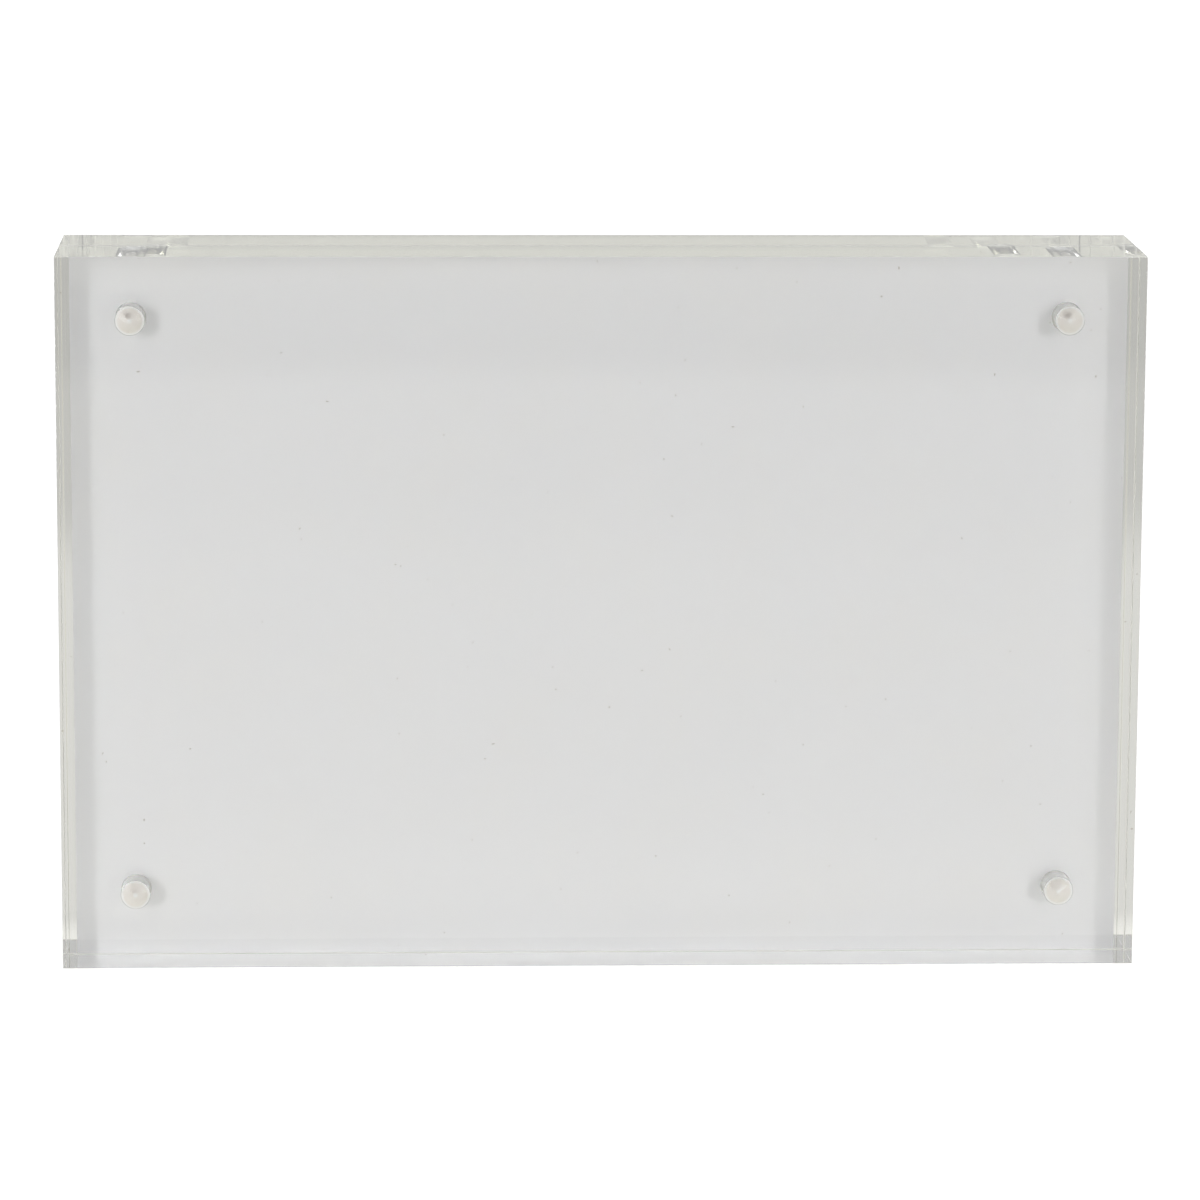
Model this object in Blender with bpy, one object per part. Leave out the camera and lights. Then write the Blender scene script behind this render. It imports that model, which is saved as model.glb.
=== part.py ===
"""A clear acrylic block sign holder: two polished slabs that small magnets hold face to face.

The slabs hold a blank card between them, where a sign or a print goes. Each slab has four blind
holes in its mating face. A hole holds one rod magnet, and a drop of glue fills the shallow cone
that the drill left behind it.

Units are metres, +Z is up and the front faces -Y. The origin is at the middle of the base.
"""

import math

import bmesh
import bpy

# The two slabs are cut from one sheet, to the size of a 6 x 4 inch print.
SLAB_WIDTH = 0.1524
SLAB_HEIGHT = 0.1016
SHEET_THICKNESS = 0.0127
EDGE_CHAMFER = 0.0001

# The card in the seam, a little narrower than the slabs, and almost as tall.
CARD_THICKNESS = 0.0002
CARD_CLEARANCE = 0.00005
CARD_SIDE_MARGIN = 0.0016
CARD_END_MARGIN = 0.0001
SEAM_GAP = CARD_THICKNESS + 2 * CARD_CLEARANCE

# Rod magnets, set just below the mating face so that the slabs close flat on the card.
MAGNET_DIAMETER = 0.004
MAGNET_LENGTH = 0.005
MAGNET_EDGE_BEVEL = 0.00015
MAGNET_RECESS = 0.0002
MAGNET_SIDE_INSET = 0.0102
MAGNET_END_INSET = 0.0096

# The drilled holes and the glue at their ends.
HOLE_CLEARANCE = 0.0001
HOLE_MOUTH_CHAMFER = 0.0002
DRILL_POINT_ANGLE = math.radians(150)
GLUE_CLEARANCE = 0.0001
GLUE_SKIRT = 0.00025

# How far a cutting tool runs past the face that it opens, and the sides of every round piece.
TOOL_OVERRUN = 0.0005
ROUND_SEGMENTS = 32
SMOOTH_ANGLE = math.radians(30)
MERGE_DISTANCE = 0.000001

# Radii, and depths below the mating face, from the mouth of a hole to its tip.
MAGNET_RADIUS = MAGNET_DIAMETER / 2
HOLE_RADIUS = MAGNET_RADIUS + HOLE_CLEARANCE
GLUE_RADIUS = HOLE_RADIUS - GLUE_CLEARANCE
DRILL_HALF_ANGLE = DRILL_POINT_ANGLE / 2
MAGNET_START = MAGNET_RECESS
MAGNET_END = MAGNET_START + MAGNET_LENGTH
GLUE_START = MAGNET_END + GLUE_CLEARANCE
GLUE_SHOULDER = GLUE_START + GLUE_SKIRT
GLUE_TIP = GLUE_SHOULDER + GLUE_RADIUS / math.tan(DRILL_HALF_ANGLE)
HOLE_TIP = GLUE_TIP + GLUE_CLEARANCE / math.sin(DRILL_HALF_ANGLE)
HOLE_SHOULDER = HOLE_TIP - HOLE_RADIUS / math.tan(DRILL_HALF_ANGLE)

# Hole axes from the middle of the base, in the plane of the mating face.
HOLE_X = SLAB_WIDTH / 2 - MAGNET_SIDE_INSET
HOLE_Z_BOTTOM = MAGNET_END_INSET
HOLE_Z_TOP = SLAB_HEIGHT - MAGNET_END_INSET
HOLE_HEIGHTS = {"bottom": HOLE_Z_BOTTOM, "top": HOLE_Z_TOP}
HOLE_SIDES = {"left": -HOLE_X, "right": HOLE_X}


def clear_scene():
    """Removes whatever the scene holds."""
    for obj in list(bpy.data.objects):
        bpy.data.objects.remove(obj, do_unlink=True)


def finish(name, colour, metallic, roughness, transmission):
    """A material with one plain finish."""
    material = bpy.data.materials.new(name)
    material.use_nodes = True
    shader = material.node_tree.nodes["Principled BSDF"]
    shader.inputs["Base Color"].default_value = (*colour, 1)
    shader.inputs["Metallic"].default_value = metallic
    shader.inputs["Roughness"].default_value = roughness
    shader.inputs["Transmission Weight"].default_value = transmission
    shader.inputs["IOR"].default_value = 1.49
    return material


def holder(name, y, turn):
    """An empty over the middle of the base, which carries one half of the block or the card."""
    empty = bpy.data.objects.new(name, None)
    empty.location = (0, y, 0)
    empty.rotation_euler = (0, 0, turn)
    bpy.context.scene.collection.objects.link(empty)
    return empty


def piece(name, mesh, parent, place=(0, 0, 0), material=None):
    """A named object in the scene, carried by one half."""
    obj = bpy.data.objects.new(name, mesh)
    bpy.context.scene.collection.objects.link(obj)
    obj.parent = parent
    obj.location = place
    if material:
        mesh.materials.clear()
        mesh.materials.append(material)
    return obj


def turned(bm, profile, x=0, z=0):
    """Adds a closed solid turned about a line along Y, from (radius, depth) points that end on it."""
    points = [bm.verts.new((x + radius, depth, z)) for radius, depth in profile]
    edges = [bm.edges.new(pair) for pair in zip(points, points[1:])]
    bmesh.ops.spin(
        bm,
        geom=points + edges,
        cent=(x, 0, z),
        axis=(0, 1, 0),
        angle=math.tau,
        steps=ROUND_SEGMENTS,
        use_merge=True,
    )


def mesh_from(bm, name):
    """Closes the seams of what was turned, faces it outwards and shades its round sides smooth."""
    bmesh.ops.remove_doubles(bm, verts=bm.verts, dist=MERGE_DISTANCE)
    bmesh.ops.recalc_face_normals(bm, faces=bm.faces)
    mesh = bpy.data.meshes.new(name)
    bm.to_mesh(mesh)
    bm.free()
    mesh.shade_smooth()
    mesh.set_sharp_from_angle(angle=SMOOTH_ANGLE)
    return mesh


def sheet_mesh(name, width, thickness, height, middle_y):
    """A cut sheet that stands upright, at the middle of the slabs' height."""
    bm = bmesh.new()
    bmesh.ops.create_cube(bm, size=1)
    bmesh.ops.scale(bm, verts=bm.verts, vec=(width, thickness, height))
    bmesh.ops.translate(bm, verts=bm.verts, vec=(0, middle_y, SLAB_HEIGHT / 2))
    mesh = bpy.data.meshes.new(name)
    bm.to_mesh(mesh)
    bm.free()
    return mesh


def slab_mesh():
    """The slab's block, with its mating face at y = 0."""
    return sheet_mesh("slab", SLAB_WIDTH, SHEET_THICKNESS, SLAB_HEIGHT, SHEET_THICKNESS / 2)


def card_mesh():
    """The card, whose middle plane is at y = 0."""
    width = SLAB_WIDTH - 2 * CARD_SIDE_MARGIN
    height = SLAB_HEIGHT - 2 * CARD_END_MARGIN
    return sheet_mesh("card", width, CARD_THICKNESS, height, 0)


def drill_mesh():
    """The space of the four holes: a chamfered mouth, a straight bore and the drill's point."""
    mouth_radius = HOLE_RADIUS + HOLE_MOUTH_CHAMFER + TOOL_OVERRUN
    profile = [
        (0, -TOOL_OVERRUN),
        (mouth_radius, -TOOL_OVERRUN),
        (HOLE_RADIUS, HOLE_MOUTH_CHAMFER),
        (HOLE_RADIUS, HOLE_SHOULDER),
        (0, HOLE_TIP),
    ]
    bm = bmesh.new()
    for z in HOLE_HEIGHTS.values():
        for x in HOLE_SIDES.values():
            turned(bm, profile, x, z)
    return mesh_from(bm, "drilled_holes")


def magnet_mesh():
    """A rod magnet with both rims bevelled, from just below the mating face."""
    face_radius = MAGNET_RADIUS - MAGNET_EDGE_BEVEL
    profile = [
        (0, MAGNET_START),
        (face_radius, MAGNET_START),
        (MAGNET_RADIUS, MAGNET_START + MAGNET_EDGE_BEVEL),
        (MAGNET_RADIUS, MAGNET_END - MAGNET_EDGE_BEVEL),
        (face_radius, MAGNET_END),
        (0, MAGNET_END),
    ]
    bm = bmesh.new()
    turned(bm, profile)
    return mesh_from(bm, "rod_magnet")


def glue_mesh():
    """The drop of glue between the magnet's inner end and the cone of the drill's point."""
    profile = [
        (0, GLUE_START),
        (GLUE_RADIUS, GLUE_START),
        (GLUE_RADIUS, GLUE_SHOULDER),
        (0, GLUE_TIP),
    ]
    bm = bmesh.new()
    turned(bm, profile)
    return mesh_from(bm, "glue_drop")


def slab(name, half, material):
    """One acrylic slab: chamfered all round, then drilled from its mating face."""
    drills = piece(name + "_drills", drill_mesh(), half)
    drills.hide_render = True
    drills.display_type = "WIRE"
    block = piece(name, slab_mesh(), half, material=material)
    chamfer = block.modifiers.new("edge chamfer", "BEVEL")
    chamfer.width = EDGE_CHAMFER
    chamfer.segments = 1
    chamfer.limit_method = "ANGLE"
    holes = block.modifiers.new("magnet holes", "BOOLEAN")
    holes.operation = "DIFFERENCE"
    holes.solver = "EXACT"
    holes.object = drills


def magnets_and_glue(prefix, half, left_sign, magnet_finish, glue_finish):
    """A magnet and its glue for each hole. left_sign is -1 where the half is turned round."""
    magnet = magnet_mesh()
    glue = glue_mesh()
    for level, z in HOLE_HEIGHTS.items():
        for side, x in HOLE_SIDES.items():
            corner = level + "_" + side
            place = (left_sign * x, 0, z)
            piece(prefix + "_magnet_" + corner, magnet, half, place, magnet_finish)
            piece(prefix + "_glue_" + corner, glue, half, place, glue_finish)


def main():
    clear_scene()
    acrylic = finish("clear_acrylic", (0.90, 0.91, 0.88), 0, 0.02, 1)
    nickel = finish("nickel_plate", (0.66, 0.62, 0.55), 1, 0.25, 0)
    cured_glue = finish("cured_glue", (0.80, 0.77, 0.70), 0, 0.45, 0)
    card_stock = finish("card_stock", (0.84, 0.84, 0.82), 0, 0.75, 0)

    rear_half = holder("rear_half", SEAM_GAP / 2, 0)
    slab("rear_block", rear_half, acrylic)
    magnets_and_glue("rear", rear_half, 1, nickel, cured_glue)

    front_half = holder("front_half", -SEAM_GAP / 2, math.pi)
    slab("front_block", front_half, acrylic)
    magnets_and_glue("front", front_half, -1, nickel, cured_glue)

    card = holder("card", 0, 0)
    piece("insert_card", card_mesh(), card, material=card_stock)


main()
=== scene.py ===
# %% [markdown]
# # A clear acrylic sign holder
#
# The holder is a block of two polished acrylic slabs. Small rod magnets in blind holes pull the slabs
# together, and a blank card lies in the seam between them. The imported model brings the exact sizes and
# the way the pieces move. This file dresses it: finer pieces, real finishes, soft light and the camera.

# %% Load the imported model
import math

import bpy
from mathutils import Matrix, Vector


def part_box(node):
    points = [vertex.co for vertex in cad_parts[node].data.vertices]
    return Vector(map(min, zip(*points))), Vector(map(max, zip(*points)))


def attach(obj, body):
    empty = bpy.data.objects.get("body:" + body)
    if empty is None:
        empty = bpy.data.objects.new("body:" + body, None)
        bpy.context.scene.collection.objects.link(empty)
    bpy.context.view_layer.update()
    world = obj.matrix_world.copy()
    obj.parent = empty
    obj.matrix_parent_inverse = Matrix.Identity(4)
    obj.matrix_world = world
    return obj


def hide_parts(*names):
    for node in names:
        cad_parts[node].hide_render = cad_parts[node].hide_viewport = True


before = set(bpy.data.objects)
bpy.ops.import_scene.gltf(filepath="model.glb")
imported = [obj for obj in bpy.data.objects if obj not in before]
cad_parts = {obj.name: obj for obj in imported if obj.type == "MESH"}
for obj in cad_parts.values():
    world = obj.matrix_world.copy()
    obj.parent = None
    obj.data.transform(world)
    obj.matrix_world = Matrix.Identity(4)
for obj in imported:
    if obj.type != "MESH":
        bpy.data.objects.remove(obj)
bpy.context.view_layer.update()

MM = 0.001

# %% [markdown]
# ## Sizes from the frame
#
# Every size that the model already knows is measured on it: the rear slab, the card, and one magnet
# with its glue. The front slab is the rear one turned round, and all four corners are alike. Only what
# the model doesn't have, such as the fine rounding of an edge, gets a value here.

# %% Measure the rear slab, the card and one corner
rear_low, rear_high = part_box("rear_block")
card_low, card_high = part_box("insert_card")
magnet_low, magnet_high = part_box("rear_magnet_top_right")
glue_low, glue_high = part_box("rear_glue_top_right")

MATING_PLANE = rear_low.y
SLAB_WIDTH = rear_high.x - rear_low.x
SLAB_THICKNESS = rear_high.y - rear_low.y
SLAB_HEIGHT = rear_high.z - rear_low.z
MAGNET_RADIUS = (magnet_high.x - magnet_low.x) / 2
MAGNET_START = magnet_low.y - MATING_PLANE
MAGNET_END = magnet_high.y - MATING_PLANE
GLUE_TIP = glue_high.y - MATING_PLANE
HOLE_X = (magnet_high.x + magnet_low.x) / 2
HOLE_Z_TOP = (magnet_high.z + magnet_low.z) / 2
HOLE_Z_MIDDLE = SLAB_HEIGHT / 2
HOLE_Z_REACH = HOLE_Z_TOP - HOLE_Z_MIDDLE
print("slab, mm:", round(SLAB_WIDTH / MM, 2), round(SLAB_THICKNESS / MM, 2), round(SLAB_HEIGHT / MM, 2))
print("hole axis from the middle, mm:", round(HOLE_X / MM, 2), round(HOLE_Z_REACH / MM, 2))

# %% [markdown]
# ## The camera
#
# The picture was taken with a long lens from a little above the block and a little to the left of its
# middle, and looks down by about ten degrees. A long lens far away keeps upright edges almost
# parallel. The turn, the tilt and the small roll are applied in that order, so that each stays plain.

# %% Camera at the photo's angle
PHOTO_SIZE = 1200
FOCAL_LENGTH_PIXELS = 5600
SENSOR_WIDTH = 36
CAMERA_PLACE = Vector((-0.0314, -0.7868, 0.1973))
CAMERA_TURN = math.radians(-2.31)
CAMERA_TILT = math.radians(90 - 10.55)
CAMERA_ROLL = math.radians(0.29)

bpy.ops.object.select_all(action="DESELECT")
bpy.ops.object.camera_add()
camera = bpy.context.object
camera.name = "photo_camera"
camera.data.sensor_width = SENSOR_WIDTH
camera.data.lens = FOCAL_LENGTH_PIXELS * SENSOR_WIDTH / PHOTO_SIZE
camera.data.clip_start = 0.01
camera.data.clip_end = 50
turn = Matrix.Rotation(CAMERA_TURN, 4, "Z")
tilt = Matrix.Rotation(CAMERA_TILT, 4, "X")
roll = Matrix.Rotation(CAMERA_ROLL, 4, "Z")
camera.matrix_world = Matrix.Translation(CAMERA_PLACE) @ turn @ tilt @ roll
bpy.context.scene.camera = camera
bpy.context.scene.view_settings.view_transform = "Standard"
print("lens, mm:", camera.data.lens)

# %% [markdown]
# ## How light travels in the block
#
# Light zigzags inside polished acrylic many times before it leaves, so a path needs many bounces. The
# render may also blur sharp reflections to save time. That is switched off here, because the soft
# bands at the ends of the card are made by light that the polished ends fold back.

# %% Bounces for clear acrylic
GLASS_BOUNCES = 20
cycles = bpy.context.scene.cycles
cycles.max_bounces = GLASS_BOUNCES
cycles.transmission_bounces = GLASS_BOUNCES
cycles.glossy_bounces = GLASS_BOUNCES
cycles.blur_glossy = 0
print("bounces:", GLASS_BOUNCES)

# %% [markdown]
# ## Shader arithmetic
#
# A pattern is a formula of the place on the surface. Wrapping a node's output in a small class lets
# the formula be written as plain Python, and each operator adds its Math node by itself. A second
# class adds the other nodes, and two helpers start a material and fill in its shader.


# %% Values that can be added and multiplied
class Value:
    """The output of a node, which can be used in a formula."""

    def __init__(self, finish, socket):
        self.finish = finish
        self.socket = socket

    def math(self, operation, *values):
        return self.finish.node("ShaderNodeMath", {"operation": operation}, dict(enumerate(values)))

    def __add__(self, other):
        return self.math("ADD", self, other)

    def __sub__(self, other):
        return self.math("SUBTRACT", self, other)

    def __rsub__(self, other):
        return self.math("SUBTRACT", other, self)

    def __mul__(self, other):
        return self.math("MULTIPLY", self, other)

    def __pow__(self, other):
        return self.math("POWER", self, other)

    def __abs__(self):
        return self.math("ABSOLUTE", self)

    __radd__ = __add__
    __rmul__ = __mul__

    def maximum(self, other):
        return self.math("MAXIMUM", self, other)

    def rise(self, low, high):
        """0 below low, 1 above high, and smooth between them."""
        settings = {"interpolation_type": "SMOOTHSTEP"}
        return self.finish.node("ShaderNodeMapRange", settings, {0: self, 1: low, 2: high})

    def fall(self, low, high):
        """1 below low, 0 above high, and smooth between them."""
        return 1 - self.rise(low, high)


print("values ready")


# %% A tree that nodes are added to
class Finish:
    """A node tree, of a material or of the world, that nodes are added to."""

    def __init__(self, tree):
        self.tree = tree

    def node(self, kind, settings=None, values=None, output=0):
        """Adds one node: its settings come first, then the values or links of its sockets."""
        made = self.tree.nodes.new(kind)
        for name, setting in (settings or {}).items():
            setattr(made, name, setting)
        for name, value in (values or {}).items():
            if isinstance(value, Value):
                self.tree.links.new(value.socket, made.inputs[name])
            else:
                made.inputs[name].default_value = value
        return Value(self, made.outputs[output])

    def place(self):
        """The three Object coordinates."""
        spot = self.node("ShaderNodeTexCoord", output="Object")
        self.spot = spot
        parts = self.node("ShaderNodeSeparateXYZ", values={0: spot})
        return [Value(self, socket) for socket in parts.socket.node.outputs]

    def noise(self, scale, detail=2, roughness=0.5, spot=None):
        """A soft random pattern, from 0 to 1, with this many grains to the metre."""
        values = {"Vector": spot or self.spot, "Scale": scale, "Detail": detail, "Roughness": roughness}
        return self.node("ShaderNodeTexNoise", values=values)

    def stretched(self, scale):
        """The Object coordinates, stretched by a different amount along each axis."""
        return self.node("ShaderNodeVectorMath", {"operation": "MULTIPLY"}, {0: self.spot, 1: scale})

    def blend(self, amount, first, second):
        """A colour between two, by an amount from 0 to 1."""
        values = {"Factor": amount, "A": colour(first), "B": colour(second)}
        return self.node("ShaderNodeMix", {"data_type": "RGBA"}, values, output="Result")

    def bump(self, height, distance, normal=None):
        """Small relief, with its height in metres."""
        values = {"Height": height, "Distance": distance}
        if normal:
            values["Normal"] = normal
        return self.node("ShaderNodeBump", values=values)


def colour(value):
    """A plain colour gets its fourth number, and a linked one is passed on."""
    return value if isinstance(value, Value) else (*value, 1)


print("finishes ready")


# %% Start a material and fill in its shader
def new_finish(name):
    """A new material, its tree and its one shader."""
    material = bpy.data.materials.new(name)
    material.use_nodes = True
    finish = Finish(material.node_tree)
    shader = material.node_tree.nodes["Principled BSDF"]
    return material, finish, shader


def set_shader(finish, shader, values):
    """Gives the shader's sockets their values or links."""
    for name, value in values.items():
        if isinstance(value, Value):
            finish.tree.links.new(value.socket, shader.inputs[name])
        else:
            shader.inputs[name].default_value = value


print("shader helpers ready")

# %% [markdown]
# ## The table
#
# The block stands on a plain pale table. The camera sees it as plain white, so bright that the faint
# shadow of a clear block doesn't show. The block itself sees the table as it was: pale, lightest right
# round the block, a little greyer with distance, and dark past its front edge, which shows as a soft
# step across the upper part of the face. Light Path tells the camera's rays apart, so the background
# is white without more light on the block.

# %% A round table top
TABLE_RADIUS = 8
TABLE_DROP = 0.1 * MM
bpy.ops.object.select_all(action="DESELECT")
bpy.ops.mesh.primitive_circle_add(vertices=96, radius=TABLE_RADIUS, fill_type="NGON")
table = bpy.context.object
table.name = "table"
table.location.z = -TABLE_DROP
bpy.ops.object.transform_apply(location=True)
print("table radius, m:", TABLE_RADIUS)

# %% What the camera and the block see of the table
TABLE_GLOW = 0.54
NEAR_GLOW = 0.15
FRONT_GLOW = 0.08
UNDER_GLOW = 0.18
TABLE_EDGE = 0.60
EDGE_BLUR = 0.03
EDGE_DIMMING = 0.65
WHITE_LIFT = 0.65
CAMERA_PAINT = (0.8, 0.8, 0.8, 1)
BLOCK_PAINT = (1, 0.995, 0.965, 1)
table_material = bpy.data.materials.new("pale table")
table_material.use_nodes = True
paint = Finish(table_material.node_tree)
table_x, table_y = paint.place()[:2]
reach = paint.node("ShaderNodeVectorMath", {"operation": "LENGTH"}, {0: paint.spot}, output="Value")
camera_ray = Value(paint, paint.node("ShaderNodeLightPath").socket.node.outputs["Is Camera Ray"])

under_block = abs(table_x).fall(0.08, 0.10) * abs(table_y).fall(0.014, 0.030)
near_table = reach.fall(0.30, 0.42)
in_front = table_y.fall(-0.03, 0.0)
past_edge = in_front * reach.rise(TABLE_EDGE - EDGE_BLUR, TABLE_EDGE + EDGE_BLUR)
open_glow = TABLE_GLOW + NEAR_GLOW * near_table + FRONT_GLOW * in_front
table_glow = open_glow * (1 - EDGE_DIMMING * past_edge) + UNDER_GLOW * under_block

diffuse = paint.node("ShaderNodeBsdfDiffuse", values={"Color": CAMERA_PAINT})
white_lift = paint.node("ShaderNodeEmission", values={"Color": (1, 1, 1, 1), "Strength": WHITE_LIFT})
lifted = paint.node("ShaderNodeAddShader", values={0: diffuse, 1: white_lift})
pale = paint.node("ShaderNodeEmission", values={"Color": BLOCK_PAINT, "Strength": table_glow})
seen = paint.node("ShaderNodeMixShader", values={0: camera_ray, 1: pale, 2: lifted})
paint.tree.links.new(seen.socket, paint.tree.nodes["Material Output"].inputs["Surface"])
table.data.materials.append(table_material)
print("table nodes:", len(paint.tree.nodes))

# %% [markdown]
# ## The room and its light
#
# Clear acrylic shows the room all around it, so the room is as much a part of the picture as a lamp.
# The world is a pale room: a light wall behind the block, a bright ceiling, and a darker side where
# the camera stands. Two soft lamps, one above the other, stand left and right of the camera. Each has
# a grid, which limits how wide it shines. That light comes from a narrow range of sides, so each
# magnet throws a soft shadow, and near both ends the slab folds one side's light away from the card.

# %% The room
WALL_GLOW = 0.53
HORIZON_GLOW = 0.20
HIGH_WALL_GLOW = 0.20
CAMERA_SIDE_GLOW = 0.12
CEILING_GLOW = 0.55
SIDE_WALL_SHARE = 0.25
world = bpy.data.worlds.new("studio room")
bpy.context.scene.world = world
world.use_nodes = True
room = Finish(world.node_tree)
background = world.node_tree.nodes["Background"]
direction = room.node("ShaderNodeTexCoord", output="Generated")
parts = room.node("ShaderNodeSeparateXYZ", values={0: direction}).socket.node.outputs
to_right, to_back, to_top = [Value(room, socket) for socket in parts]
camera_ray = Value(room, room.node("ShaderNodeLightPath").socket.node.outputs["Is Camera Ray"])

wall = to_back.rise(0.0, 0.2)
overhead = to_top.rise(0.40, 0.60)
sides = abs(to_right).rise(0.70, 0.90)
near_horizon = to_top.rise(0.03, 0.09) * to_top.fall(0.17, 0.27)
wall_light = WALL_GLOW + HORIZON_GLOW * near_horizon + HIGH_WALL_GLOW * to_top.rise(0.55, 0.75)
front_light = CAMERA_SIDE_GLOW + CEILING_GLOW * overhead.maximum(SIDE_WALL_SHARE * sides)
room_light = wall * wall_light + (1 - wall) * front_light
strength = camera_ray + (1 - camera_ray) * room_light
room.tree.links.new(strength.socket, background.inputs["Strength"])
background.inputs["Color"].default_value = (1, 1, 1, 1)
print("room nodes:", len(world.node_tree.nodes))

# %% Soft lamps, two to each side
LAMP_DISTANCE = 1.2
LAMP_SIDE_ANGLE = math.radians(29)
LAMP_SPREAD = math.radians(28)
LAMP_WIDTH = 0.40
LAMP_HEIGHT = 0.80
LAMP_POWERS = {"left": 0.262, "right": 0.238}
LAMP_RISES = {"low": math.radians(4), "high": math.radians(19)}
LAMP_SHARES = {"low": 1.0, "high": 0.7}
BLOCK_MIDDLE = Vector((0, 0, SLAB_HEIGHT / 2))


def soft_lamp(name, side, rise, power):
    """A soft lamp whose inner edge points at the block's middle: side is -1 on the left."""
    bpy.ops.object.light_add(type="AREA")
    lamp = bpy.context.object
    lamp.name = name
    x = side * math.cos(rise) * math.sin(LAMP_SIDE_ANGLE)
    y = -math.cos(rise) * math.cos(LAMP_SIDE_ANGLE)
    towards_lamp = Vector((x, y, math.sin(rise)))
    outwards = Vector((-y, x, 0)).normalized() * side
    lamp.location = BLOCK_MIDDLE + LAMP_DISTANCE * towards_lamp + LAMP_WIDTH / 2 * outwards
    lamp.rotation_euler = (-towards_lamp).to_track_quat("-Z", "Y").to_euler()
    lamp.data.shape = "RECTANGLE"
    lamp.data.size = LAMP_WIDTH
    lamp.data.size_y = LAMP_HEIGHT
    lamp.data.spread = LAMP_SPREAD
    lamp.data.energy = power
    lamp.visible_camera = False
    return lamp


for side, sign in (("left", -1), ("right", 1)):
    for level, rise in LAMP_RISES.items():
        power = LAMP_POWERS[side] * LAMP_SHARES[level]
        lamp = soft_lamp("_".join((side, level, "lamp")), sign, rise, power)
        print(lamp.name, "place, m:", [round(v, 3) for v in lamp.location])

# %% [markdown]
# ## Cast acrylic
#
# Cast acrylic is clear, with an olive tint that shows only along a long path, as at an edge. So the
# tint is absorption inside the slab, and the surface itself has none. The faces carry a few specks and
# fine scratches, and the ends keep the faint waviness of polishing. The drilled holes aren't polished,
# so they blur what is seen through them, and their matt part is painted dark grey as painted shade. The
# eased edges along the seam are matt and white. All of it is one finish on one closed solid, because
# the tint needs to know where light goes in and comes out.

# %% The shape of a drilled hole
HOLE_CLEARANCE = 0.1 * MM
HOLE_RADIUS = MAGNET_RADIUS + HOLE_CLEARANCE
HALF_POINT = math.radians(150 / 2)
POINT_SLOPE = math.tan(HALF_POINT)
HOLE_TIP = GLUE_TIP + HOLE_CLEARANCE / math.sin(HALF_POINT)
HOLE_SHOULDER = HOLE_TIP - HOLE_RADIUS / POINT_SLOPE
print("hole depth to its shoulder and tip, mm:", round(HOLE_SHOULDER / MM, 2), round(HOLE_TIP / MM, 2))


# %% Where a place on the surface is
EASING = 0.09 * MM


def length(across, up):
    """The length of the line to a point."""
    return (across * across + up * up) ** 0.5


def from_hole_axis(x, z):
    """How far a place is to the right of the nearest hole's axis, and how far above it."""
    above_middle = z - HOLE_Z_MIDDLE
    right = x - x.math("SIGN", x) * HOLE_X
    above = above_middle - x.math("SIGN", above_middle) * HOLE_Z_REACH
    return right, above


def drilled_share(distance, depth):
    """1 on the wall of a drilled hole, and 0 on the polished faces."""
    drilled = distance.fall(HOLE_RADIUS + 0.06 * MM, HOLE_RADIUS + 0.10 * MM)
    below_mouth = depth.rise(0.03 * MM, 0.12 * MM)
    above_tip = depth.fall(HOLE_TIP + 0.1 * MM, HOLE_TIP + 0.2 * MM)
    return drilled * below_mouth * above_tip


def seam_share(x, z, depth):
    """1 on the eased edges that run along the seam."""
    past_side = abs(x) - SLAB_WIDTH / 2
    past_rim = past_side.maximum(abs(z - SLAB_HEIGHT / 2) - SLAB_HEIGHT / 2)
    on_rim = past_rim.rise(-EASING - 0.02 * MM, -EASING + 0.02 * MM)
    return on_rim * depth.fall(EASING, EASING + 0.03 * MM)


print("places ready")

# %% Clear cast acrylic
CLEAR = (0.995, 0.995, 0.995)
SPECK = (0.62, 0.58, 0.52)
# The bores' matt colour is dark grey, a painted shade; the seam's matt colour is plain white.
BORE_FROST_SHADE = (0.40, 0.41, 0.37)
SEAM_FROST = (0.97, 0.97, 0.95)
OLIVE_TINT = (0.78, 0.80, 0.10, 1)
TINT_DENSITY = 1.35
ACRYLIC_IOR = 1.49
BORE_BLUR = 0.15
CONE_BLUR = 0.07
SCRATCH_BLUR = 0.05
SEAM_BLUR = 0.6
BORE_MATT = 0.28
SEAM_MATT = 0.25
WAVE_HEIGHT = 0.003 * MM
RING_HEIGHT = 0.0008 * MM


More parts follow.
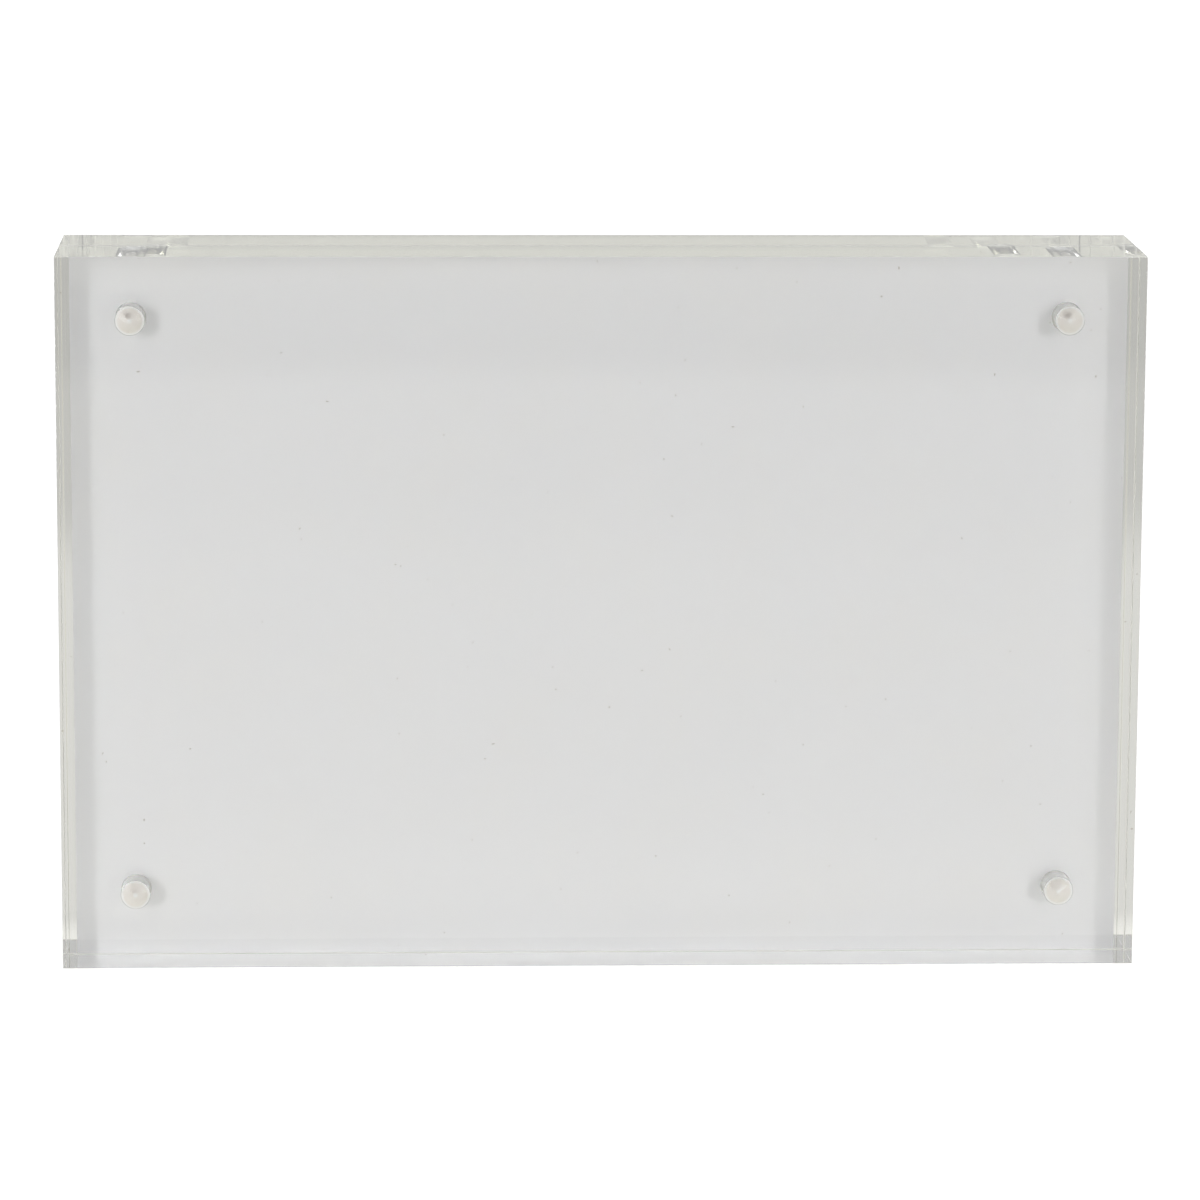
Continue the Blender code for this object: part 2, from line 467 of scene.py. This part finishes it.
def acrylic_finish():
    """Clear acrylic with polished faces, waved ends, soft holes in painted shade and matt edges along the
    seam.
    """
    material, finish, shader = new_finish("clear cast acrylic")
    x, y, z = finish.place()
    depth = abs(y) - MATING_PLANE
    drilled = drilled_share(length(*from_hole_axis(x, z)), depth)
    cone = depth.rise(HOLE_SHOULDER - 0.20 * MM, HOLE_SHOULDER - 0.02 * MM)
    bore = drilled * (1 - cone)
    seam = seam_share(x, z, depth)
    end = (abs(x) - (SLAB_WIDTH / 2 - 0.3 * MM)).rise(0, 0.1 * MM)

    specks = finish.noise(1900, detail=0).rise(0.895, 0.905)
    scratches = finish.noise(1, detail=1, spot=finish.stretched((900, 900, 40))).rise(0.74, 0.80)
    polishing = finish.noise(1, detail=2, spot=finish.stretched((160, 500, 160)))
    turned_rings = finish.node(
        "ShaderNodeTexWave",
        {"wave_type": "BANDS", "bands_direction": "Y"},
        {"Vector": finish.spot, "Scale": 1400, "Distortion": 2, "Detail": 1},
    )
    relief = finish.bump(polishing * end, WAVE_HEIGHT)
    relief = finish.bump(turned_rings * bore, RING_HEIGHT, normal=relief)
    hole_blur = (BORE_BLUR + CONE_BLUR * cone) * drilled
    set_shader(finish, shader, {
        "Base Color": finish.blend(specks, CLEAR, SPECK),
        "Roughness": hole_blur + SCRATCH_BLUR * scratches * (1 - drilled) + SEAM_BLUR * seam,
        "Normal": relief,
        "Transmission Weight": 1,
        "IOR": ACRYLIC_IOR,
    })

    # About a quarter of the light is scattered, in the drilled bores and along the seam edges. In the
    # bores the matt part is painted dark grey, as painted shade.
    frost_and_bore_shade = finish.node("ShaderNodeBsdfPrincipled", values={
        "Base Color": finish.blend(seam, BORE_FROST_SHADE, SEAM_FROST),
        "Roughness": 0.45 + 0.2 * polishing,
        "Normal": relief,
    })
    clear = Value(finish, shader.outputs["BSDF"])
    matt = BORE_MATT * bore + SEAM_MATT * seam
    surface = finish.node("ShaderNodeMixShader", values={0: matt, 1: clear, 2: frost_and_bore_shade})
    tint = finish.node("ShaderNodeVolumeAbsorption", values={"Color": OLIVE_TINT, "Density": TINT_DENSITY})
    output = finish.tree.nodes["Material Output"]
    finish.tree.links.new(surface.socket, output.inputs["Surface"])
    finish.tree.links.new(tint.socket, output.inputs["Volume"])
    return material


acrylic = acrylic_finish()
print("acrylic nodes:", len(acrylic.node_tree.nodes))

# %% [markdown]
# ## Nickel plate, glue and card
#
# The magnets are nickel plated, with a slightly warm, satin shine, fine turned rings on their ends and
# a few dull marks. The glue is a cream, cloudy resin with tiny bubbles. Its colour also carries painted
# light: a painted highlight round its rim and at the drill's tip, painted shade on its upper half, and a
# painted dark reflection up and to the left of the tip. The card is plain uncoated stock, whose fibres
# give it a very fine mottle.

# %% Nickel plate
NICKEL = (0.70, 0.66, 0.58)
DULL_NICKEL = (0.56, 0.50, 0.42)
RING_PITCH = 0.22 * MM


def nickel_finish():
    """Warm nickel with turned rings on the magnets' ends and dull marks on their sides."""
    material, finish, shader = new_finish("nickel plate")
    x, y, z = finish.place()
    distance = length(*from_hole_axis(x, z))
    rings = finish.node("ShaderNodeMath", {"operation": "SINE"}, {0: distance * (math.tau / RING_PITCH)})
    cloud = finish.noise(900, detail=3)
    dull = finish.noise(350, detail=4, roughness=0.6).rise(0.52, 0.68)
    set_shader(finish, shader, {
        "Base Color": finish.blend(dull, NICKEL, DULL_NICKEL),
        "Metallic": 1,
        "Roughness": 0.22 + 0.10 * cloud + 0.16 * dull,
        "Normal": finish.bump(rings + cloud, 0.002 * MM),
    })
    return material


nickel = nickel_finish()
print("nickel nodes:", len(nickel.node_tree.nodes))

# %% Cured glue
# The first cream is the glue's lit colour, and the second is a copy in painted shade for its upper half.
LIT_LOWER_CREAM = (0.93, 0.905, 0.855)
SHADED_UPPER_CREAM = (0.93, 0.895, 0.865)
CLOUD = (0.84, 0.80, 0.75)
BUBBLE = (0.72, 0.67, 0.60)
# A painted dark reflection.
DARK_REFLECTION = (0.46, 0.41, 0.37)
# A painted highlight for the glue's rim and tip.
GLUE_HIGHLIGHT = (1.0, 0.995, 0.98)


def glue_finish():
    """Cream, cloudy glue, with painted highlights at its rim and tip, painted shade above and a painted
    dark reflection.
    """
    material, finish, shader = new_finish("cured glue")
    x, y, z = finish.place()
    right, above = from_hole_axis(x, z)
    distance = length(right, above)
    # Painted highlights: a bright ring round the rim and a bright dot at the tip.
    rim_highlight = distance.rise(0.78 * HOLE_RADIUS, 0.88 * HOLE_RADIUS)
    tip_highlight = distance.fall(0.08 * HOLE_RADIUS, 0.22 * HOLE_RADIUS)
    # Painted shade: the upper half is a little darker and pinker.
    upper_shade = above.rise(-0.9 * HOLE_RADIUS, 0.3 * HOLE_RADIUS)
    # Painted dark reflection: a dark patch up and to the left of the tip.
    dark_reflection = length(right + 0.22 * HOLE_RADIUS, 1.4 * (above - 0.38 * HOLE_RADIUS))
    dark_reflection = dark_reflection.fall(0.02 * HOLE_RADIUS, 0.50 * HOLE_RADIUS)
    dark_reflection = dark_reflection * finish.noise(240, detail=1).rise(0.40, 0.62)
    cloud = finish.noise(900, detail=3).rise(0.30, 0.75)
    bubbles = finish.node("ShaderNodeTexVoronoi", values={"Vector": finish.spot, "Scale": 2600})
    bubble = bubbles.fall(0.08, 0.20) * cloud
    shaded_cream = finish.blend(upper_shade, LIT_LOWER_CREAM, SHADED_UPPER_CREAM)
    shaded_cream = finish.blend(0.6 * cloud, shaded_cream, CLOUD)
    shaded_cream = finish.blend(0.5 * bubble, shaded_cream, BUBBLE)
    shaded_cream = finish.blend(0.75 * dark_reflection, shaded_cream, DARK_REFLECTION)
    set_shader(finish, shader, {
        "Base Color": finish.blend(rim_highlight.maximum(tip_highlight), shaded_cream, GLUE_HIGHLIGHT),
        "Roughness": 0.36 + 0.16 * cloud,
        "Normal": finish.bump(cloud + 0.6 * bubble, 0.02 * MM),
        "Coat Weight": 0.15,
    })
    return material


glue = glue_finish()
print("glue nodes:", len(glue.node_tree.nodes))

# %% Card stock
GREY_FIBRE = (0.840, 0.842, 0.866)
WHITE_FIBRE = (0.870, 0.872, 0.898)
MOTTLE = (0.862, 0.858, 0.868)


def card_finish():
    """White uncoated card with a fine fibre mottle."""
    material, finish, shader = new_finish("card stock")
    finish.place()
    fibres = finish.noise(1, detail=3, spot=finish.stretched((2600, 2600, 900)))
    mottle = finish.noise(60, detail=4, roughness=0.6)
    white = finish.blend(fibres, GREY_FIBRE, WHITE_FIBRE)
    set_shader(finish, shader, {
        "Base Color": finish.blend(0.5 * mottle.rise(0.4, 0.7), white, MOTTLE),
        "Roughness": 0.72 + 0.16 * mottle,
        "Normal": finish.bump(fibres, 0.004 * MM),
    })
    return material


card_stock = card_finish()
print("card nodes:", len(card_stock.node_tree.nodes))

# %% [markdown]
# ## Helpers for modelling
#
# Each piece starts from a primitive at its size and place and is then shaped in edit mode. The
# operators act on all that is selected, so a helper first clears the selection, and another picks
# faces by a test on their middle and direction.


# %% Select, edit and settle
SMOOTH_ANGLE = math.radians(30)


def start_alone():
    """Back to object mode with nothing selected."""
    if bpy.context.object and bpy.context.object.mode != "OBJECT":
        bpy.ops.object.mode_set(mode="OBJECT")
    bpy.ops.object.select_all(action="DESELECT")


def pick(obj, kind, test):
    """Selects the faces or edges of the object that pass the test, and nothing else."""
    bpy.ops.object.mode_set(mode="EDIT")
    bpy.ops.mesh.select_mode(type="FACE" if kind == "faces" else "EDGE")
    bpy.ops.mesh.select_all(action="DESELECT")
    bpy.ops.object.mode_set(mode="OBJECT")
    mesh = obj.data
    count = 0
    if kind == "faces":
        for face in mesh.polygons:
            face.select = bool(test(face.center, face.normal))
            count += face.select
    else:
        for edge in mesh.edges:
            ends = [mesh.vertices[i].co for i in edge.vertices]
            edge.select = bool(test(*ends))
            count += edge.select
    bpy.ops.object.mode_set(mode="EDIT")
    return count


def settle(obj):
    """Leaves edit mode, puts the piece's place into its mesh and shades it."""
    start_alone()
    obj.select_set(True)
    bpy.context.view_layer.objects.active = obj
    bpy.ops.object.transform_apply(location=True, rotation=True, scale=True)
    bpy.ops.object.shade_smooth_by_angle(angle=SMOOTH_ANGLE)


def apply_all(obj):
    """Applies the modifiers of a piece in their order."""
    bpy.context.view_layer.objects.active = obj
    for modifier in list(obj.modifiers):
        bpy.ops.object.modifier_apply(modifier=modifier.name)


print("modelling helpers ready")

# %% [markdown]
# ## Turned pieces
#
# Holes, magnets and glue are all round about a line along Y. A filled ring is set at the first radius,
# and each further step of the profile is one extrude along Y and one scale about the axis. That is how
# a lathe would read the drawing, and it gives an even row of faces for each step. Each kind of piece is
# turned once, at the middle of the base on the rear slab's mating plane, and copied to where it goes.

# %% Turn a profile, and copy what it made
ROUND_SIDES = 72


def turned(name, profile):
    """A closed solid about the Y axis, from (radius, depth below the mating face) steps."""
    start_alone()
    radius, depth = profile[0]
    bpy.ops.mesh.primitive_circle_add(
        vertices=ROUND_SIDES,
        radius=radius,
        fill_type="NGON",
        location=(0, MATING_PLANE + depth, 0),
        rotation=(math.pi / 2, 0, 0),
    )
    obj = bpy.context.object
    obj.name = name
    bpy.ops.object.mode_set(mode="EDIT")
    bpy.ops.mesh.select_all(action="SELECT")
    for next_radius, next_depth in profile[1:]:
        step = (0, next_depth - depth, 0)
        bpy.ops.mesh.extrude_region_move(TRANSFORM_OT_translate={"value": step})
        ratio = next_radius / radius
        middle = (0, MATING_PLANE + next_depth, 0)
        bpy.ops.transform.resize(value=(ratio, ratio, ratio), center_override=middle)
        radius, depth = next_radius, next_depth
    bpy.ops.mesh.select_all(action="SELECT")
    bpy.ops.mesh.normals_make_consistent(inside=False)
    settle(obj)
    return obj


def placed_copy(pattern, name, place=(0, 0, 0), turn=0):
    """A copy with its own mesh, turned about Z and moved to its place."""
    copy = pattern.copy()
    copy.data = pattern.data.copy()
    copy.name = name
    copy.rotation_euler.z = turn
    copy.location = place
    bpy.context.collection.objects.link(copy)
    settle(copy)
    return copy


print("turning ready")

# %% [markdown]
# ## The drilled slabs
#
# Each slab is sawn from sheet, its edges are eased and polished, and four blind holes are drilled into
# its mating face. Here a cube gets small rounded edges with the bevel operator. A drill with a
# chamfered mouth and a shallow tip is turned once and copied to the four corners, and a Boolean
# modifier takes each copy away, as the drill press does. The front slab is the rear one turned round.

# %% The drill, and the corners that it goes to
MOUTH_CHAMFER = 0.04 * MM
DRILL_OVERRUN = 0.5 * MM
TIP_RADIUS = 0.02 * MM
SHOULDER_ROUNDING = 0.15 * MM
SHOULDER_STEP = 0.05 * MM
CORNERS = [(level, side) for level in ("top", "bottom") for side in ("left", "right")]
DRILL_PROFILE = [
    (HOLE_RADIUS + MOUTH_CHAMFER + DRILL_OVERRUN, -DRILL_OVERRUN),
    (HOLE_RADIUS, MOUTH_CHAMFER),
    (HOLE_RADIUS, HOLE_SHOULDER - SHOULDER_ROUNDING),
    (HOLE_RADIUS - SHOULDER_STEP, HOLE_SHOULDER),
    (TIP_RADIUS, HOLE_TIP - TIP_RADIUS / POINT_SLOPE),
]


def corner_place(level, side):
    """Where a corner's hole meets the plane of the seam."""
    x = HOLE_X if side == "right" else -HOLE_X
    z = HOLE_Z_MIDDLE + (HOLE_Z_REACH if level == "top" else -HOLE_Z_REACH)
    return x, 0, z


drill = turned("drill", DRILL_PROFILE)
print("drill faces:", len(drill.data.polygons))


# %% One drilled slab
def drill_hole(slab, place):
    """Takes the drill's shape out of the slab at one corner."""
    cutter = placed_copy(drill, "cutter", place)
    hole = slab.modifiers.new("hole", "BOOLEAN")
    hole.operation = "DIFFERENCE"
    hole.solver = "EXACT"
    hole.object = cutter
    apply_all(slab)
    bpy.data.objects.remove(cutter, do_unlink=True)


start_alone()
rear_middle = (rear_low + rear_high) / 2
bpy.ops.mesh.primitive_cube_add(size=1, location=rear_middle, scale=rear_high - rear_low)
rear_slab = bpy.context.object
rear_slab.name = "rear_slab"
settle(rear_slab)
bpy.ops.object.mode_set(mode="EDIT")
bpy.ops.mesh.select_all(action="SELECT")
bpy.ops.mesh.bevel(offset=EASING, segments=3)
settle(rear_slab)
rear_slab.data.materials.append(acrylic)
for level, side in CORNERS:
    drill_hole(rear_slab, corner_place(level, side))
bpy.data.objects.remove(drill, do_unlink=True)
settle(rear_slab)
print("drilled slab faces:", len(rear_slab.data.polygons))

# %% Both slabs
HALF_TURN = math.pi
front_slab = placed_copy(rear_slab, "front_slab", turn=HALF_TURN)
for slab, prefix in ((front_slab, "front"), (rear_slab, "rear")):
    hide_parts(prefix + "_block")
    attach(slab, prefix + "_half")
    print(slab.name, "stands for", prefix + "_block")

# %% [markdown]
# ## Magnets and glue
#
# A rod magnet has evenly rounded rims. The glue wets the cone behind it: it follows the cone closely,
# rounds over at the shoulder, and its rim creeps up a little round the magnet's end without touching
# it. One of each is turned, and every hole gets a copy. The front slab's copies are turned round, as
# that slab is.

# %% One magnet and one drop of glue
RIM_ROUNDING = 0.18 * MM
RIM_STEPS = 4
GLUE_GAP = 0.02 * MM


def magnet_profile():
    """A rod with rounded rims, as (radius, depth below the mating face)."""
    face_radius = MAGNET_RADIUS - RIM_ROUNDING
    steps = [i / RIM_STEPS * math.pi / 2 for i in range(RIM_STEPS + 1)]
    opening = [
        (face_radius + RIM_ROUNDING * math.sin(a), MAGNET_START + RIM_ROUNDING * (1 - math.cos(a)))
        for a in steps
    ]
    closing = [(radius, MAGNET_START + MAGNET_END - depth) for radius, depth in reversed(opening)]
    return opening + closing


def glue_profile():
    """A drop that fills the drill's cone, as (radius, depth below the mating face)."""
    wet_radius = HOLE_RADIUS - GLUE_GAP
    wet_shoulder = HOLE_SHOULDER - GLUE_GAP
    wet_tip = HOLE_TIP - GLUE_GAP / math.sin(HALF_POINT)
    return [
        (0.55 * wet_radius, MAGNET_END + 0.06 * MM),
        (0.90 * wet_radius, MAGNET_END + 0.03 * MM),
        (wet_radius, MAGNET_END - 0.04 * MM),
        (wet_radius, wet_shoulder - 0.10 * MM),
        (0.975 * wet_radius, wet_shoulder),
        (0.30 * wet_radius, wet_tip - 0.30 * wet_radius / POINT_SLOPE),
        (0.04 * wet_radius, wet_tip - 0.04 * wet_radius / POINT_SLOPE),
    ]


rod = turned("rod", magnet_profile())
rod.data.materials.append(nickel)
drop = turned("drop", glue_profile())
drop.data.materials.append(glue)
print("faces of a magnet and a drop:", len(rod.data.polygons), len(drop.data.polygons))


# %% A magnet and a drop of glue for every hole
def fill_hole(prefix, kind, pattern, level, side):
    """A copy in one hole, which stands for the frame's node of the same place."""
    turn = HALF_TURN if prefix == "front" else 0
    name = "_".join((prefix, kind, "dressed", level, side))
    obj = placed_copy(pattern, name, corner_place(level, side), turn)
    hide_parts("_".join((prefix, kind, level, side)))
    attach(obj, prefix + "_half")


for prefix in ("front", "rear"):
    for level, side in CORNERS:
        fill_hole(prefix, "magnet", rod, level, side)
        fill_hole(prefix, "glue", drop, level, side)
    print(prefix, "slab: holes filled:", len(CORNERS))
bpy.data.objects.remove(rod, do_unlink=True)
bpy.data.objects.remove(drop, do_unlink=True)

# %% [markdown]
# ## The card
#
# The card is almost as tall as the slabs and a little narrower, so it ends just inside both ends of
# the block. A cut leaves its edge slightly crushed and rounded, and its corners lose their points. A
# cube at the card's size gets both: the four short edges are rounded first, then the rims of the faces.

# %% A blank card
CORNER_ROUNDING = 0.3 * MM
CUT_ROUNDING = 0.05 * MM
start_alone()
card_size = card_high - card_low
bpy.ops.mesh.primitive_cube_add(size=1, location=(card_low + card_high) / 2, scale=card_size)
card = bpy.context.object
card.name = "blank_card"
settle(card)
short_edges = pick(card, "edges", lambda a, b: abs(a.y - b.y) > CUT_ROUNDING)
bpy.ops.mesh.bevel(offset=CORNER_ROUNDING, segments=4)
faces = pick(card, "faces", lambda middle, normal: abs(normal.y) > 0.9)
bpy.ops.mesh.bevel(offset=CUT_ROUNDING, segments=2)
settle(card)
card.data.materials.append(card_stock)
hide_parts("insert_card")
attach(card, "card")
print("card: short edges", short_edges, "faces", faces, "mm:", [round(v / MM, 2) for v in card_size])
